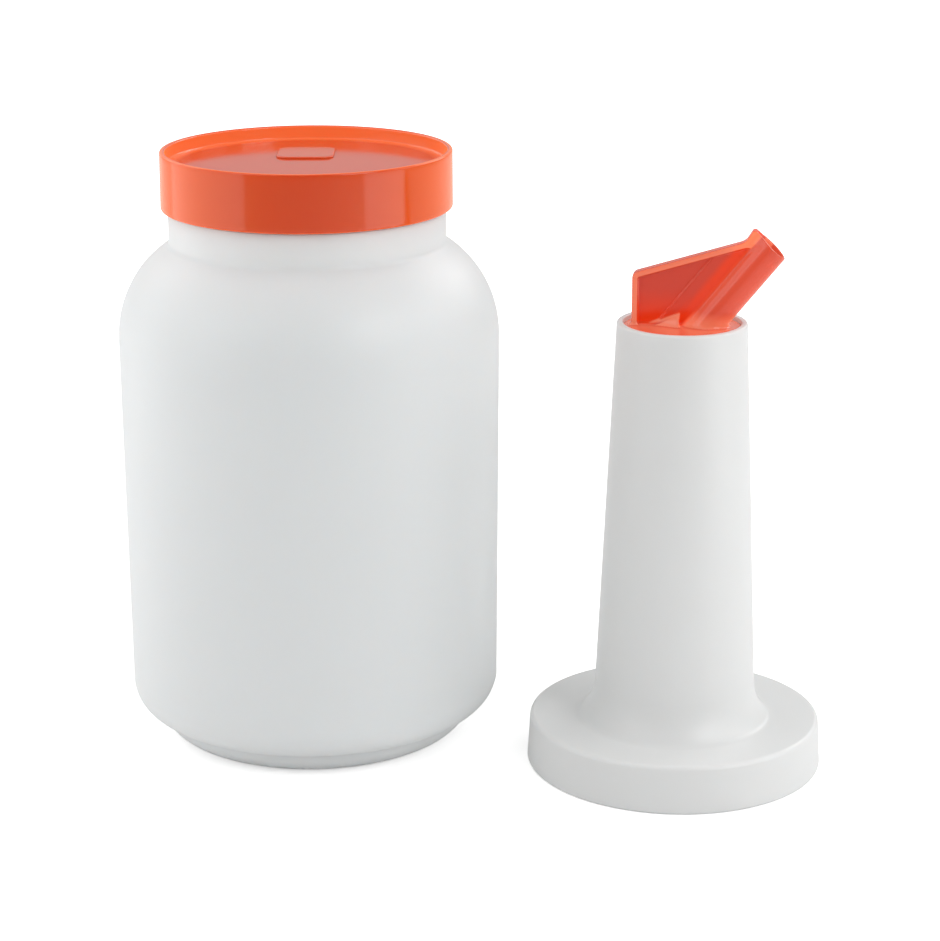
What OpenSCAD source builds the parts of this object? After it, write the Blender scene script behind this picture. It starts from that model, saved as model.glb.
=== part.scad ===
// Store-and-pour bottle set: a wide-mouth jar closed by a screw lid, and beside it
// the pouring neck that takes the lid's place, with its turning spout.
// Millimetres, +Z up. The origin is the middle of the pair's footprint, on the table.

/* [Jar] */
// Outer diameter of the jar body
body_d = 123; // [120:0.5:126]
// Height of the jar alone, up to the rim of its mouth
jar_h = 187.3; // [185:0.1:190]
// Radius of the rounded shoulder
shoulder_r = 35.4; // [34:0.1:37]
// Thickness of the blown jar wall
jar_wall = 1.6; // [1.2:0.1:2]
// Outer diameter of the plain neck below the lid
jar_neck_d = 89; // [88.6:0.1:89.2]
// Inner diameter of the jar's mouth
mouth_d = 82; // [78:0.5:83]

/* [Lid] */
// Outer diameter of the lid at its lower edge
lid_d = 93.4; // [93.2:0.1:95]
// Overall height of the lid
lid_h = 18.3; // [17:0.1:19]
// Depth of the panel below the lid's rim
panel_depth = 4.3; // [3:0.1:4.5]
// Width of the small raised pad on the panel
pad_w = 18.5; // [12:0.5:22]

/* [Thread] */
// Rise of one full turn
pitch = 5.08; // [5:0.01:5.1]
// Turns of thread on each moulding
thread_turns = 1.15; // [1:0.05:1.3]

/* [Pouring neck] */
// Overall height of the pouring neck
neck_h = 145.7; // [140:0.1:155]
// Outer diameter of the screw collar at its lower edge
collar_d = 94.8; // [94:0.1:96]
// Height of the screw collar
collar_h = 15.6; // [15:0.1:17]
// Outer diameter of the neck at its top
neck_top_d = 40.8; // [40.6:0.1:42]
// Narrowing of the neck's radius for each millimetre of height
neck_taper = 0.044; // [0.03:0.0001:0.06]
// Distance of the neck to the right of the jar
neck_dx = 118; // [112:0.1:130]
// Distance of the neck in front of the jar
neck_dy = 34.1; // [20:0.1:40]

/* [Spout] */
// Lean of the pour tube above the horizontal, in degrees
tube_lean = 51.5; // [45:0.1:60]
// Outer diameter of the pour tube
tube_d = 10.2; // [9.6:0.1:10.6]
// Diameter of the passage in the pour tube
tube_bore_d = 8; // [7:0.1:8.2]
// Length of the pour tube, from the disc to its mouth
tube_len = 32.7; // [31:0.1:35]
// Slant of the tube's mouth away from a square cut, in degrees
mouth_slant = 6; // [0:1:8]
// Turn of the spout towards the front, in degrees
spout_turn = 8; // [0:1:20]
// Slope of the fin's upper edge, in degrees
fin_slope = 17; // [12:0.5:20]

/* [Hidden] */
$fn = 96;

// Places of the two upright axes: the footprint's middle is the origin
body_r = body_d / 2;
collar_r = collar_d / 2;
jar_x = (body_r - collar_r - neck_dx) / 2;
jar_y = (collar_r - body_r + neck_dy) / 2;
neck_x = jar_x + neck_dx;
neck_y = jar_y - neck_dy;

// Clearance between mouldings that move against each other
seat_gap = 0.05;
// Amount by which a cut or a joined solid passes a face
over = 1;

// Jar: foot, heel, shoulder and mouth
body_low_r = body_r - 0.7;
foot_r = 43;
foot_round = 9.2;
foot_land = 4.5;
foot_slope = 4;
push_up = 3;
heel_round = 10.2;
kink_r = 52.1;
foot_end = -acos((kink_r - foot_r) / foot_round);
heel_start = -acos((kink_r - (body_low_r - heel_round)) / heel_round);
heel_z = foot_round + foot_round * sin(foot_end) - heel_round * sin(heel_start);
shoulder_z = 134.1;
shoulder_c = body_r - shoulder_r;
jar_neck_r = jar_neck_d / 2;
throat_fillet = 2.5;
throat_r = jar_neck_r + throat_fillet;
throat_dz = sqrt(pow(shoulder_r + throat_fillet, 2) - pow(throat_r - shoulder_c, 2));
throat_a = atan2(throat_dz, throat_r - shoulder_c);
mouth_r = mouth_d / 2;
shoulder_in = shoulder_r - jar_wall;
mouth_a = acos((mouth_r - shoulder_c) / shoulder_in);

// Thread: the jar's ridge stands on finish_r, the closures' ridges on skirt_r
finish_r = jar_neck_r - 1.4;
finish_h = 12;
finish_step = 0.6;
lip_bevel = 0.5;
jar_crest = finish_r + 1.1;
skirt_r = jar_neck_r + 0.2;
closure_crest = skirt_r - 1.2;
ridge_root = 2.4;
ridge_top = 1.1;
ridge_embed = 0.5;
ridge_steps = 56;
fade_steps = 5;
// Depth of a ridge's root below the surface that it stands on
ridge_hidden = 0.2;
// Depth below the jar's rim at which each ridge starts, the closure's a little higher
jar_ridge_drop = 8;
closure_ridge_drop = jar_ridge_drop - 0.15;

// Lid
lid_r = lid_d / 2;
lid_top_r = lid_r - 0.1;
skirt_bevel = 0.6;
skirt_bevel_h = 0.8;
liner_t = 1.1;
// Gap between a flat seal's edge and the skirt round it
seal_inset = 0.4;
ceiling_z = jar_h + liner_t + 2 * seat_gap;
panel_t = 1.3;
panel_z = ceiling_z + panel_t;
lid_top = panel_z + panel_depth;
lid_low = lid_top - lid_h;
rim_w = 1.8;
rim_round = 0.6;
pad_d = 20;
pad_h = 0.8;
pad_corner = 4;
// Place of the pad's middle from the lid's axis, to the right and to the back
pad_x = -1;
pad_y = 15.6;

// Pouring neck
neck_top_r = neck_top_d / 2;
neck_wall = 2;
flare_z = 27.5;
flare_r = 16.9;
collar_round = 1.5;
collar_foot_round = 0.9;
neck_top_round = 0.8;
flare_in = 1.5;
socket_lead = 5;
seat_bevel = 0.3;
collar_top_r = collar_r - 0.8;
collar_t = 2;
gasket_t = 1.3;
gasket_in_r = 38;
socket_r = 16.6;
socket_z = 124;
seat_r = 18.4;
disc_drop = 1.3;
disc_t = 1.6;
disc_z = neck_h - disc_drop;
seat_z = disc_z - disc_t - seat_gap;

// Spout
disc_r = seat_r - 2 * seat_gap;
plug_r = socket_r - 0.06;
plug_in_r = 13.2;
plug_len = 17;
ring_r = 0.95;
ring_drop = 8;
ring_z = disc_z - ring_drop;
groove_r = plug_r - 2 * ring_r - seat_gap;
groove_w = 2 * ring_r + 2 * seat_gap;
tube_r = tube_d / 2;
tube_root = 8;
bore_root = 20;
reach = 20;
tube_foot_u = 7.1;
tube_flare = 3.4;
tube_flare_h = 4;
fin_left = -15.7;
fin_corner_z = disc_z + 16.6;
fin_corner_r = 2;
rail_w = 4.6;
rail_t = 1.75;
rail_inner_r = 0.8;
web_t = 2;
web_inset = 0.3;
web_right = 22;
// Crest where the rail climbs onto the end of the tube
crest_start = 17.5;
crest_hollow_r = 4;
crest_lean = 60;
crest_u = 21.7;
crest_z = disc_z + 30.8;
crest_round = 1;
crest_right = 24.2;
// Air passage and the thickened strip of the fin round it
vent_shift = 5.8;
vent_bore_r = 0.75;
rib_shift = 8.7;
rib_w = 7.4;
rib_t = 3.2;
gusset_left = -13.3;
gusset_right = -1;
gusset_tip_r = 0.3;
gusset_r = 4.3;
// Shallow drop-shaped recess in the mouth, which the tube and the air passage open into
recess_depth = 2.5;
recess_r = 4.3;
recess_tip_r = 1.5;
recess_shift = 5.2;
recess_a = 180 - acos((recess_r - recess_tip_r) / recess_shift);

// Points on a circle about [cr, cz] from angle a0 to a1 in n steps
function arc(cr, cz, r, a0, a1, n) =
    [for (i = [0 : n]) let (a = a0 + (a1 - a0) * i / n) [cr + r * cos(a), cz + r * sin(a)]];

// Outer radius of the pouring neck's cone at height z
function neck_r(z) = neck_top_r + (neck_h - z) * neck_taper;

// Height of the fin's upper edge at a distance u from the neck's axis
function fin_top(u) = fin_corner_z + (u - fin_left) * tan(fin_slope);

// Part of the full ridge height reached at step i of n: it fades out at both ends
function ridge_fade(i, n) = min(1, i / fade_steps, (n - i) / fade_steps);

// A helical ridge from height z0 at angle a0, rooted at root_r and reaching crest_r
module ridge(root_r, crest_r, z0, a0) {
    n = ridge_steps;
    side = sign(crest_r - root_r);
    low_r = root_r - side * ridge_embed;
    hidden_r = root_r - side * ridge_hidden;
    pts = [
        for (i = [0 : n])
            let (
                a = a0 + 360 * thread_turns * i / n,
                z = z0 + pitch * thread_turns * i / n,
                r = hidden_r + (crest_r - hidden_r) * ridge_fade(i, n)
            )
            for (p = [
                [low_r, -ridge_root / 2], [r, -ridge_top / 2],
                [r, ridge_top / 2], [low_r, ridge_root / 2]
            ])
                [p[0] * cos(a), p[0] * sin(a), z + p[1]]
    ];
    sides = [
        for (i = [0 : n - 1])
            for (k = [0 : 3])
                let (b = 4 * i, j = (k + 1) % 4)
                for (t = [[b + k, b + j, b + 4 + k], [b + j, b + 4 + j, b + 4 + k]])
                    t
    ];
    caps = [[3, 2, 1], [3, 1, 0], [4 * n, 4 * n + 1, 4 * n + 2], [4 * n, 4 * n + 2, 4 * n + 3]];
    faces = concat(sides, caps);
    polyhedron(
        points = pts,
        faces = side > 0 ? faces : [for (f = faces) [f[2], f[1], f[0]]],
        convexity = 6
    );
}

// Blown jar with a stepped foot, a round shoulder and a threaded mouth
module jar() {
    outer = concat(
        [[0, push_up], [foot_r - foot_land - foot_slope, push_up / 2], [foot_r - foot_land, 0]],
        arc(foot_r, foot_round, foot_round, -90, foot_end, 10),
        arc(body_low_r - heel_round, heel_z, heel_round, heel_start, 0, 12),
        arc(shoulder_c, shoulder_z, shoulder_r, 0, throat_a, 16),
        arc(throat_r, shoulder_z + throat_dz, throat_fillet, 180 + throat_a, 180, 4),
        [
            [jar_neck_r, jar_h - finish_h - finish_step], [finish_r, jar_h - finish_h],
            [finish_r, jar_h - lip_bevel], [finish_r - lip_bevel, jar_h]
        ]
    );
    inner = concat(
        [[mouth_r + lip_bevel, jar_h], [mouth_r, jar_h - lip_bevel]],
        arc(shoulder_c, shoulder_z, shoulder_in, mouth_a, 0, 16),
        arc(body_low_r - heel_round, heel_z, heel_round - jar_wall, 0, heel_start, 10),
        arc(foot_r, foot_round, foot_round - jar_wall, foot_end, -90, 8),
        [
            [foot_r - foot_land, jar_wall],
            [foot_r - foot_land - foot_slope, push_up / 2 + jar_wall],
            [0, push_up + jar_wall]
        ]
    );
    color("whitesmoke")
        translate([jar_x, jar_y, 0]) {
            rotate_extrude() polygon(concat(outer, inner));
            ridge(finish_r, jar_crest, jar_h - jar_ridge_drop, 0);
        }
}

// Screw lid with a raised rim round a sunk panel, and a small bare pad on the panel
module lid() {
    profile = concat(
        [
            [0, ceiling_z], [skirt_r, ceiling_z],
            [skirt_r, lid_low + skirt_bevel_h], [skirt_r + skirt_bevel, lid_low]
        ],
        arc(lid_r - rim_round, lid_low + rim_round, rim_round, -90, 0, 4),
        arc(lid_top_r - rim_round, lid_top - rim_round, rim_round, 0, 90, 4),
        arc(lid_top_r - rim_w + rim_round, lid_top - rim_round, rim_round, 90, 180, 4),
        arc(lid_top_r - rim_w - rim_round, panel_z + rim_round, rim_round, 0, -90, 4),
        [[0, panel_z]]
    );
    color("orangered")
        translate([jar_x, jar_y, 0]) {
            rotate_extrude() polygon(profile);
            ridge(skirt_r, closure_crest, jar_h + seat_gap - closure_ridge_drop, 180);
            translate([pad_x, pad_y, panel_z - over])
                rounded_block(pad_w, pad_d, pad_h + over, pad_corner);
        }
}

// Upright block with rounded corners, centred on the axis
module rounded_block(w, d, h, corner) {
    translate([-w / 2 + corner, -d / 2, 0]) cube([w - 2 * corner, d, h]);
    translate([-w / 2, -d / 2 + corner, 0]) cube([w, d - 2 * corner, h]);
    for (x = [-1, 1], y = [-1, 1])
        translate([x * (w / 2 - corner), y * (d / 2 - corner), 0])
            cylinder(r = corner, h = h, $fn = 32);
}

// Sealing disc that lies in the lid on the jar's rim
module lid_liner() {
    color("gainsboro")
        translate([jar_x, jar_y, jar_h + seat_gap])
            cylinder(r = skirt_r - seal_inset, h = liner_t);
}

// Pouring neck: a hollow cone on a screw collar, with the spout's socket at its top
module neck() {
    cone_foot_r = neck_r(flare_z);
    flare_a = asin((flare_z - collar_h) / flare_r);
    outer = concat(
        [[skirt_r + skirt_bevel, 0], [collar_r - collar_foot_round, 0]],
        arc(collar_r - collar_foot_round, collar_foot_round, collar_foot_round, -60, 0, 3),
        arc(collar_top_r - collar_round, collar_h - collar_round, collar_round, 0, 90, 5),
        arc(cone_foot_r + flare_r, flare_z, flare_r, 180 + flare_a, 180, 10),
        arc(neck_top_r - neck_top_round, neck_h - neck_top_round, neck_top_round, 0, 90, 4)
    );
    cone_low_r = cone_foot_r - neck_wall;
    inner = [
        [seat_r + seat_bevel, neck_h], [seat_r, neck_h - seat_bevel], [seat_r, seat_z],
        [socket_r, seat_z], [socket_r, socket_z],
        [neck_r(socket_z - socket_lead) - neck_wall, socket_z - socket_lead],
        [cone_low_r, flare_z], [cone_low_r + flare_in, collar_h],
        [cone_low_r + flare_in, collar_h - collar_t],
        [skirt_r, collar_h - collar_t], [skirt_r, skirt_bevel_h]
    ];
    color("whitesmoke")
        translate([neck_x, neck_y, 0]) {
            rotate_extrude() polygon(concat(outer, inner));
            ridge(skirt_r, closure_crest, collar_h - collar_t - gasket_t - closure_ridge_drop, 0);
        }
}

// Flat ring under the collar's ceiling that seals on the jar's rim
module neck_gasket() {
    color("gainsboro")
        translate([neck_x, neck_y, collar_h - collar_t - gasket_t])
            difference() {
                cylinder(r = skirt_r - seal_inset, h = gasket_t);
                translate([0, 0, -over]) cylinder(r = gasket_in_r, h = gasket_t + 2 * over);
            }
}

// Frame of the spout: X runs along the fin towards the pour tube
module spout_frame() {
    translate([neck_x, neck_y, 0]) rotate([0, 0, -spout_turn]) children();
}

// Frame of the pour tube: Z runs along its axis from the disc's upper face
module tube_frame() {
    translate([tube_foot_u, 0, disc_z]) rotate([0, 90 - tube_lean, 0]) children();
}

// Flat plate in the fin's plane, of thickness t, from a profile of [u, z] points
module fin_plate(profile, t) {
    translate([0, t / 2, 0]) rotate([90, 0, 0]) linear_extrude(height = t) polygon(profile);
}

// Web of the fin, with the wider rail along its left and upper edges up to the crest
module fin() {
    base_z = disc_z - disc_t / 2;
    rail_drop = rail_t / cos(fin_slope);
    corner_r = fin_corner_r;
    inner_u = fin_left + rail_t + rail_inner_r;
    fin_plate([
        [fin_left + web_inset, base_z], [tube_foot_u, base_z],
        [web_right, fin_top(web_right) - web_inset], [fin_left + web_inset, fin_corner_z - web_inset]
    ], web_t);
    fin_plate(concat(
        [[fin_left, base_z]],
        arc(fin_left + corner_r, fin_top(fin_left + corner_r) - corner_r / cos(fin_slope), corner_r,
            180, 90 + fin_slope, 5),
        arc(crest_start - crest_hollow_r * sin(fin_slope),
            fin_top(crest_start) + crest_hollow_r * cos(fin_slope), crest_hollow_r,
            fin_slope - 90, crest_lean - 90, 5),
        arc(crest_u, crest_z - crest_round, crest_round, 90 + crest_lean, 90, 4),
        [
            [crest_right, crest_z], [crest_right, fin_top(crest_right) - rail_drop],
            [web_right, fin_top(web_right) - rail_drop]
        ],
        arc(inner_u, fin_top(inner_u) - rail_drop - rail_inner_r / cos(fin_slope), rail_inner_r,
            90 + fin_slope, 180, 3),
        [[fin_left + rail_t, base_z]]
    ), rail_w);
}

// Turning spout: a disc on a plug, the pour tube, and the grip fin behind it
module spout() {
    color("orange")
        spout_frame()
            difference() {
                union() {
                    translate([0, 0, disc_z - disc_t]) cylinder(r = disc_r, h = disc_t);
                    plug();
                    intersection() {
                        above_disc();
                        union() {
                            tube_frame()
                                translate([0, 0, -tube_root])
                                    cylinder(r = tube_r, h = tube_len + tube_root + over);
                            tube_foot();
                            vent_rib();
                            gusset();
                        }
                    }
                    fin();
                }
                mouth_cut();
                mouth_recess();
                tube_frame()
                    translate([0, 0, -bore_root])
                        cylinder(r = tube_bore_d / 2, h = bore_root + tube_len + reach);
                tube_frame()
                    translate([-vent_shift, 0, -bore_root])
                        cylinder(r = vent_bore_r, h = bore_root + tube_len + reach, $fn = 32);
            }
}

// Hollow plug below the disc, with the groove of its sealing ring
module plug() {
    low_z = disc_z - disc_t;
    difference() {
        translate([0, 0, low_z - plug_len]) cylinder(r = plug_r, h = plug_len + disc_t / 2);
        translate([0, 0, low_z - plug_len - over]) cylinder(r = plug_in_r, h = plug_len + over);
        translate([0, 0, ring_z - groove_w / 2])
            difference() {
                cylinder(r = plug_r + over, h = groove_w);
                translate([0, 0, -over]) cylinder(r = groove_r, h = groove_w + 2 * over);
            }
    }
}

// Space above the middle of the disc, in which the leaning pieces are kept
module above_disc() {
    translate([-disc_r, -disc_r, disc_z - disc_t / 2]) cube([3 * disc_r, 2 * disc_r, 2 * tube_len]);
}

// Cone at the pour tube's foot
module tube_foot() {
    tube_frame()
        translate([0, 0, -tube_flare_h])
            cylinder(r1 = tube_r + tube_flare, r2 = tube_r - web_inset, h = 2 * tube_flare_h);
}

// Space past the slanting plane of the pour tube's mouth
module mouth_cut() {
    tube_frame()
        translate([0, 0, tube_len])
            rotate([0, mouth_slant, 0])
                translate([-reach, -reach, 0]) cube([2 * reach, 2 * reach, reach]);
}

// Drop-shaped recess in the end of the pour tube and its crest
module mouth_recess() {
    tube_frame()
        translate([0, 0, tube_len])
            rotate([0, mouth_slant, 0])
                translate([0, 0, -recess_depth])
                    linear_extrude(height = recess_depth + over)
                        polygon(concat(
                            arc(0, 0, recess_r, -recess_a, recess_a, 24),
                            arc(-recess_shift, 0, recess_tip_r, recess_a, 360 - recess_a, 8)
                        ));
}

// Thickened strip of the fin beside the pour tube, round the air passage
module vent_rib() {
    intersection() {
        tube_frame()
            translate([-rib_shift - rib_w / 2, -rib_t / 2, -tube_root])
                cube([rib_w, rib_t, 2 * tube_len]);
        fin_plate([
            [fin_left, disc_z - disc_t], [crest_right, disc_z - disc_t],
            [crest_right, fin_top(crest_right) - web_inset], [fin_left, fin_corner_z - web_inset]
        ], rail_w);
    }
}

// Half cone on the disc that stiffens the fin's foot
module gusset() {
    translate([gusset_left, 0, disc_z])
        rotate([0, 90, 0])
            cylinder(r1 = gusset_tip_r, r2 = gusset_r, h = gusset_right - gusset_left);
}

// Round ring in the plug's groove
module spout_seal_ring() {
    color("dimgray")
        translate([neck_x, neck_y, ring_z])
            rotate_extrude() translate([groove_r + ring_r + seat_gap / 2, 0]) circle(r = ring_r, $fn = 32);
}

jar();
lid();
lid_liner();
neck();
neck_gasket();
spout();
spout_seal_ring();
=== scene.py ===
"""Looks of a store-and-pour bottle set.

A wide-mouth jar closed by a screw lid stands beside the pouring neck that takes the lid's place, with its
turning grip-fin spout. Sizes are millimetres in the part's own frame, and a mesh turns them into metres.
"""

import logging
import math
from collections.abc import Callable, Sequence
from dataclasses import dataclass
from enum import Enum
from functools import cache

import bpy
import numpy as np
from mathutils import Matrix, Vector

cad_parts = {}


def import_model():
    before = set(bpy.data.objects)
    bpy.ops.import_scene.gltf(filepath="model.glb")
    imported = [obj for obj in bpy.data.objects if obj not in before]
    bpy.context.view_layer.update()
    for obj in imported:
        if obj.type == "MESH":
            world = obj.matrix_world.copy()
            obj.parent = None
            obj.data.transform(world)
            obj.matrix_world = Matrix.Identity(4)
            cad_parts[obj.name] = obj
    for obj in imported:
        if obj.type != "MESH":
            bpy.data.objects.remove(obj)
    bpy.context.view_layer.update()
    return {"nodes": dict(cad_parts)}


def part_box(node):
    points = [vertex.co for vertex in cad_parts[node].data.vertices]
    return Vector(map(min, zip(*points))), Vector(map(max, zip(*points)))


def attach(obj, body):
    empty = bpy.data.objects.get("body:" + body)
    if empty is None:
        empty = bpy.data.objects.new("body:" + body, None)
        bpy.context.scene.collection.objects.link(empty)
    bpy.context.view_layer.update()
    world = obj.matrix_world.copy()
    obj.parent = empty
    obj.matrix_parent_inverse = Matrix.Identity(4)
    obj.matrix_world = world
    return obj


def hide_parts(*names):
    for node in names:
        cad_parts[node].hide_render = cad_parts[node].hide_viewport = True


LOG = logging.getLogger("bottle_set")
MM = 0.001
LIGHT = "light"
SAME_RADIUS = 0.01

Array = np.ndarray
Piece = bpy.types.Object
Tree = bpy.types.ShaderNodeTree
Socket = bpy.types.NodeSocket
Point = tuple[float, float]
Place = tuple[float, float, float]
Colour = tuple[float, float, float]
Relief = Callable[[Array, Array, Array], tuple[Array, Array]]


class Slot(Enum):
    """Material slots of the record, one for each piece."""

    JAR = "jar_plastic"
    LID = "lid_plastic"
    NECK = "neck_plastic"
    SPOUT = "spout_plastic"


def arc(centre: Point, radius: float, start: float, end: float, steps: int) -> list[Point]:
    """Points on a circle in the plane of an outline.

    Args:
        centre: Centre as (radius, height).
        radius: Radius of the circle.
        start: First angle, in degrees.
        end: Last angle, in degrees.
        steps: Number of equal steps.

    Returns:
        The points from start to end, both included.
    """
    angles = np.radians(np.linspace(start, end, steps + 1))
    return [(centre[0] + radius * math.cos(a), centre[1] + radius * math.sin(a)) for a in angles]


def refined(points: Sequence[Point], longest: float) -> list[Point]:
    """Splits the straight stretches of an outline.

    Args:
        points: The outline's points.
        longest: Longest stretch that stays whole.

    Returns:
        The same line with more points on it.
    """
    out = [points[0]]
    for a, b in zip(points, points[1:]):
        parts = max(1, math.ceil(math.dist(a, b) / longest - 1e-6))
        for i in range(1, parts + 1):
            out.append((a[0] + (b[0] - a[0]) * i / parts, a[1] + (b[1] - a[1]) * i / parts))
    return out


def smooth_step(value: Array, low: float, high: float) -> Array:
    """Smooth rise from 0 at low to 1 at high."""
    t = np.clip((value - low) / (high - low), 0.0, 1.0)
    return t * t * (3.0 - 2.0 * t)


class Draft:
    """A mesh being gathered from several closed skins, in millimetres."""

    def __init__(self) -> None:
        """Starts with nothing in it."""
        self.points: list[Array] = []
        self.faces: list[list[int]] = []
        self.count = 0

    def add(self, points: Array, faces: Sequence[Sequence[int]]) -> None:
        """Adds one skin.

        Args:
            points: Its points, one row each.
            faces: Its faces, as indices into those points.
        """
        self.points.append(points)
        self.faces += [[int(i) + self.count for i in f] for f in faces]
        self.count += len(points)

    def lathe(self, outline: Sequence[Point], axis: Point, angles: Array, relief: Relief) -> None:
        """Turns an outline about an upright axis.

        Args:
            outline: Points (radius, height), counter-clockwise with the material on the left. It either
                starts and ends on the axis or is taken as a closed ring.
            axis: Place of the axis as (x, y).
            angles: Angles of the columns, in radians, rising through one turn.
            relief: Moves the grid of radii and heights, given with the grid of angles.
        """
        poles = outline[0][0] == 0 and outline[-1][0] == 0
        ring = outline[1:-1] if poles else outline
        radius = np.repeat(np.array([p[0] for p in ring], float)[:, None], len(angles), 1)
        height = np.repeat(np.array([p[1] for p in ring], float)[:, None], len(angles), 1)
        turn = np.repeat(angles[None, :], len(ring), 0)
        radius, height = relief(radius, height, turn)
        grid = np.stack([axis[0] + radius * np.cos(turn), axis[1] + radius * np.sin(turn), height], -1)
        points = grid.reshape(-1, 3)
        rows, cols = radius.shape
        quads = []
        for i in range(rows - 1 if poles else rows):
            low, high = i * cols, ((i + 1) % rows) * cols
            quads += [(low + j, low + (j + 1) % cols, high + (j + 1) % cols, high + j) for j in range(cols)]
        if poles:
            ends = [(axis[0], axis[1], outline[0][1]), (axis[0], axis[1], outline[-1][1])]
            first, last, top = len(points), len(points) + 1, (rows - 1) * cols
            points = np.vstack([points, ends])
            quads += [(first, (j + 1) % cols, j) for j in range(cols)]
            quads += [(last, top + j, top + (j + 1) % cols) for j in range(cols)]
        self.add(points, quads)

    def build(self, name: str) -> Piece:
        """Makes the object, in metres and shaded smooth.

        Args:
            name: Name of the piece.

        Returns:
            The new object, linked to the scene.
        """
        mesh = bpy.data.meshes.new(name)
        mesh.from_pydata((np.vstack(self.points) * MM).tolist(), [], self.faces)
        mesh.validate()
        mesh.shade_smooth()
        piece = bpy.data.objects.new(name, mesh)
        bpy.context.scene.collection.objects.link(piece)
        return piece


class ShaderGroups:
    """Shader node groups that the materials share, each built once."""

    @staticmethod
    def _new(name: str, inputs: dict[str, str], outputs: dict[str, str]) -> Tree:
        """Makes an empty group with its sockets.

        Args:
            name: Name of the group.
            inputs: Socket kinds by name.
            outputs: Socket kinds by name.

        Returns:
            The new group.
        """
        group = bpy.data.node_groups.new(name, "ShaderNodeTree")
        for label, kind in inputs.items():
            group.interface.new_socket(name=label, in_out="INPUT", socket_type=kind)
        for label, kind in outputs.items():
            group.interface.new_socket(name=label, in_out="OUTPUT", socket_type=kind)
        group.nodes.new("NodeGroupInput").name = "given"
        group.nodes.new("NodeGroupOutput").name = "result"
        return group

    @staticmethod
    def _noise(group: Tree, scale: str, detail: float) -> Socket:
        """Adds noise over the object that runs about evenly from -0.5 to 0.5.

        Args:
            group: Group that the noise goes into.
            scale: Name of the group's input with the noise's scale.
            detail: Number of finer layers.

        Returns:
            The socket with the value.
        """
        place = group.nodes.new("ShaderNodeTexCoord")
        noise = group.nodes.new("ShaderNodeTexNoise")
        noise.inputs["Detail"].default_value = detail
        group.links.new(place.outputs["Object"], noise.inputs["Vector"])
        group.links.new(group.nodes["given"].outputs[scale], noise.inputs["Scale"])
        centred = group.nodes.new("ShaderNodeMath")
        centred.operation = "SUBTRACT"
        centred.inputs[1].default_value = 0.5
        group.links.new(noise.outputs["Fac"], centred.inputs[0])
        return centred.outputs[0]

    @staticmethod
    def _scaled(group: Tree, value: Socket, amount: str, base: Socket | None = None) -> Socket:
        """Multiplies a value by one of the group's inputs, and adds it to a base.

        Args:
            group: Group that the node goes into.
            value: Socket with the value.
            amount: Name of the group's input to multiply by.
            base: Socket to add the product to, if any.

        Returns:
            The socket with the result.
        """
        node = group.nodes.new("ShaderNodeMath")
        node.operation = "MULTIPLY" if base is None else "MULTIPLY_ADD"
        group.links.new(value, node.inputs[0])
        group.links.new(group.nodes["given"].outputs[amount], node.inputs[1])
        if base is not None:
            group.links.new(base, node.inputs[2])
        return node.outputs[0]

    @classmethod
    @cache
    def relief(cls) -> Tree:
        """Group with the height of a moulded surface, in metres: a fine grain on slow ripples.

        Returns:
            The group, with the output Height.
        """
        labels = ("Grain Scale", "Grain Height", "Ripple Scale", "Ripple Height")
        kinds = dict.fromkeys(labels, "NodeSocketFloat")
        group = cls._new("moulded_relief", kinds, {"Height": "NodeSocketFloat"})
        grain = cls._scaled(group, cls._noise(group, "Grain Scale", 2.0), "Grain Height")
        height = cls._scaled(group, cls._noise(group, "Ripple Scale", 1.0), "Ripple Height", grain)
        group.links.new(height, group.nodes["result"].inputs["Height"])
        return group

    @classmethod
    @cache
    def wear(cls) -> Tree:
        """Group with a roughness that drifts a little over the surface, as handling leaves it.

        Returns:
            The group, with the output Roughness.
        """
        kinds = dict.fromkeys(("Roughness", "Spread", "Scale"), "NodeSocketFloat")
        group = cls._new("handled_roughness", kinds, {"Roughness": "NodeSocketFloat"})
        rough = group.nodes["given"].outputs["Roughness"]
        value = cls._scaled(group, cls._noise(group, "Scale", 3.0), "Spread", rough)
        group.links.new(value, group.nodes["result"].inputs["Roughness"])
        return group

    @classmethod
    @cache
    def tone(cls) -> Tree:
        """Group with a plastic's colour, clouded towards a second tone.

        Returns:
            The group, with the output Color.
        """
        kinds = {"Color": "NodeSocketColor", "Tone": "NodeSocketColor"}
        kinds |= {"Amount": "NodeSocketFloat", "Scale": "NodeSocketFloat"}
        group = cls._new("plastic_tone", kinds, {"Color": "NodeSocketColor"})
        given = group.nodes["given"]
        share = cls._scaled(group, cls._noise(group, "Scale", 2.0), "Amount", given.outputs["Amount"])
        mix = group.nodes.new("ShaderNodeMix")
        mix.data_type = "RGBA"
        group.links.new(share, mix.inputs["Factor"])
        group.links.new(given.outputs["Color"], mix.inputs["A"])
        group.links.new(given.outputs["Tone"], mix.inputs["B"])
        group.links.new(mix.outputs["Result"], group.nodes["result"].inputs["Color"])
        return group


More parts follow.
